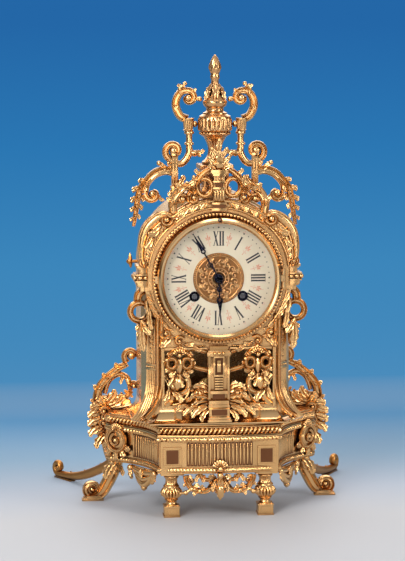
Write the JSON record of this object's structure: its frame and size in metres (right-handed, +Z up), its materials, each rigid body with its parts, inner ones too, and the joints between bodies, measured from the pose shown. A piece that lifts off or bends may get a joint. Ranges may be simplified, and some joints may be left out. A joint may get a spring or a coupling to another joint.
{
  "type": "mantel clock",
  "caption": "Gilt brass mantel clock with a rococo openwork case, an urn finial, a cream dial with roman hours behind a hinged glazed bezel, and a striking movement.",
  "frame": {"origin": "bottom centre of the bounding box: on the shelf, under the middle of the clock's width and depth", "axes": "+X to the right of someone facing the dial, +Y to the back, +Z up"},
  "size_m": [0.2616, 0.188, 0.38],
  "materials": {
    "gilt_brass": "polished gilt casting, darker in the hollows",
    "movement_brass": "brushed",
    "steel": "ground",
    "blued_steel": "blue-black",
    "enamel": "satin cream enamel",
    "glass": "clear, bevelled at the edge",
    "bell_metal": "turned"
  },
  "bodies": {
    "case": {"base_plinth": "gilt_brass", "base_cornice": "gilt_brass", "case_skirt": "gilt_brass", "front_feet": "gilt_brass", "corner_feet": "gilt_brass", "rear_feet": "gilt_brass", "front_apron": "gilt_brass", "side_aprons": "gilt_brass", "side_bracket_left": "gilt_brass", "side_bracket_right": "gilt_brass", "front_panel": "gilt_brass", "front_ornament": "gilt_brass", "case_hood": "gilt_brass", "case_back": "gilt_brass", "shoulder_left": "gilt_brass", "shoulder_right": "gilt_brass", "crest_centre": "gilt_brass", "crest_left": "gilt_brass", "crest_right": "gilt_brass", "urn_pedestal": "gilt_brass", "urn_body": "gilt_brass", "urn_lid": "gilt_brass", "urn_handles": "gilt_brass", "bead_ring": "gilt_brass", "bezel_seat": "gilt_brass", "dial_plate": "movement_brass", "chapter_ring": "enamel", "dial_centre": "gilt_brass", "front_plate": "movement_brass", "back_plate": "movement_brass", "suspension_cock": "movement_brass", "bell": "bell_metal", "bell_stand": "steel", "rear_ring": "movement_brass", "movement_straps": "movement_brass"},
    "bezel_frame": {"bezel": "gilt_brass", "bezel_glass": "glass"},
    "door": {"rear_door": "movement_brass"},
    "minute": {"minute_hand": "blued_steel", "hand_nut": "blued_steel"},
    "hour": {"hour_hand": "blued_steel", "hour_wheel": "movement_brass"},
    "minute_train": {"minute_wheel": "movement_brass"},
    "centre": {"centre_wheel": "movement_brass"},
    "intermediate": {"intermediate_wheel": "movement_brass"},
    "barrel_going": {"going_barrel": "movement_brass"},
    "arbor_going": {"going_arbor": "steel"},
    "third": {"third_wheel": "movement_brass"},
    "escape": {"escape_wheel": "movement_brass"},
    "pallets": {"anchor": "steel"},
    "swing": {"pendulum": "movement_brass"},
    "barrel_strike": {"strike_barrel": "movement_brass"},
    "arbor_strike": {"strike_arbor": "steel"},
    "strike_second": {"strike_second_wheel": "movement_brass", "count_wheel": "movement_brass"},
    "pins": {"pin_wheel": "movement_brass"},
    "warning": {"warning_wheel": "movement_brass"},
    "fan": {"fly": "steel"},
    "striker": {"hammer": "steel"},
    "regulator": {"regulator_arbor": "steel"}
  },
  "joints": [
    {"name": "bezel_hinge", "type": "hinge", "parent": "case", "child": "bezel_frame", "pos_m": [0.0529, -0.0798, 0.198], "axis": [0, 0, 1], "range_deg": [0, 100]},
    {"name": "rear_door_hinge", "type": "hinge", "parent": "case", "child": "door", "pos_m": [-0.051, 0.0004, 0.198], "axis": [0, 0, 1], "range_deg": [0, 100]},
    {"name": "minute_hand_turn", "type": "hinge", "parent": "case", "child": "minute", "pos_m": [0, -0.072, 0.198], "axis": [0, 1, 0], "continuous": true},
    {"name": "minute_wheel_turn", "type": "hinge", "parent": "case", "child": "minute_train", "pos_m": [0.006, -0.067, 0.20839], "axis": [0, 1, 0], "continuous": true},
    {"name": "hour_hand_turn", "type": "hinge", "parent": "case", "child": "hour", "pos_m": [0, -0.072, 0.198], "axis": [0, 1, 0], "continuous": true},
    {"name": "third_wheel_turn", "type": "hinge", "parent": "case", "child": "third", "pos_m": [-0.0013, -0.049, 0.2129], "axis": [0, 1, 0], "continuous": true},
    {"name": "centre_wheel_turn", "type": "hinge", "parent": "case", "child": "centre", "pos_m": [0, -0.049, 0.198], "axis": [0, 1, 0], "continuous": true},
    {"name": "intermediate_wheel_turn", "type": "hinge", "parent": "case", "child": "intermediate", "pos_m": [0.01432, -0.049, 0.20455], "axis": [0, 1, 0], "continuous": true},
    {"name": "going_barrel_turn", "type": "hinge", "parent": "case", "child": "barrel_going", "pos_m": [0.01985, -0.049, 0.1832], "axis": [0, 1, 0], "continuous": true},
    {"name": "escape_wheel_turn", "type": "hinge", "parent": "case", "child": "escape", "pos_m": [0.00698, -0.049, 0.22424], "axis": [0, 1, 0], "continuous": true},
    {"name": "pendulum_swing", "type": "hinge", "parent": "case", "child": "swing", "pos_m": [0, -0.0298, 0.234], "axis": [0, 1, 0], "range_deg": [-3.5, 3.5]},
    {"name": "anchor_rock", "type": "hinge", "parent": "case", "child": "pallets", "pos_m": [0, -0.049, 0.234], "axis": [0, 1, 0], "range_deg": [-3.5, 3.5]},
    {"name": "warning_wheel_turn", "type": "hinge", "parent": "case", "child": "warning", "pos_m": [-0.03377, -0.049, 0.21478], "axis": [0, 1, 0], "continuous": true},
    {"name": "pin_wheel_turn", "type": "hinge", "parent": "case", "child": "pins", "pos_m": [-0.02291, -0.049, 0.21873], "axis": [0, 1, 0], "continuous": true},
    {"name": "strike_second_turn", "type": "hinge", "parent": "case", "child": "strike_second", "pos_m": [-0.01552, -0.049, 0.20482], "axis": [0, 1, 0], "continuous": true},
    {"name": "strike_barrel_turn", "type": "hinge", "parent": "case", "child": "barrel_strike", "pos_m": [-0.01985, -0.049, 0.1832], "axis": [0, 1, 0], "continuous": true},
    {"name": "fly_turn", "type": "hinge", "parent": "case", "child": "fan", "pos_m": [-0.03628, -0.049, 0.20786], "axis": [0, 1, 0], "continuous": true},
    {"name": "going_wind", "type": "hinge", "parent": "case", "child": "arbor_going", "pos_m": [0.01985, -0.049, 0.1832], "axis": [0, 1, 0], "continuous": true},
    {"name": "strike_wind", "type": "hinge", "parent": "case", "child": "arbor_strike", "pos_m": [-0.01985, -0.049, 0.1832], "axis": [0, 1, 0], "continuous": true},
    {"name": "hammer_lift", "type": "hinge", "parent": "case", "child": "striker", "pos_m": [-0.0365, -0.049, 0.201], "axis": [0, 1, 0], "range_deg": [0, 8], "stiffness_Nm_per_rad": 0.004, "springref_deg": -11.46},
    {"name": "regulator_turn", "type": "hinge", "parent": "case", "child": "regulator", "pos_m": [0, -0.052, 0.2466], "axis": [0, 1, 0], "range_deg": [-360, 360]}
  ],
  "couplings": [
    {"joint": "minute_wheel_turn", "follows": "minute_hand_turn", "ratio": -0.33333},
    {"joint": "hour_hand_turn", "follows": "minute_hand_turn", "ratio": 0.083333},
    {"joint": "centre_wheel_turn", "follows": "third_wheel_turn", "ratio": -0.1},
    {"joint": "intermediate_wheel_turn", "follows": "third_wheel_turn", "ratio": 0.016667},
    {"joint": "going_barrel_turn", "follows": "third_wheel_turn", "ratio": -0.0027778},
    {"joint": "escape_wheel_turn", "follows": "third_wheel_turn", "ratio": -12},
    {"joint": "anchor_rock", "follows": "pendulum_swing", "ratio": 1},
    {"joint": "pin_wheel_turn", "follows": "warning_wheel_turn", "ratio": -0.1},
    {"joint": "strike_second_turn", "follows": "warning_wheel_turn", "ratio": 0.016667},
    {"joint": "strike_barrel_turn", "follows": "warning_wheel_turn", "ratio": -0.0027778},
    {"joint": "fly_turn", "follows": "warning_wheel_turn", "ratio": -6.6667}
  ]
}
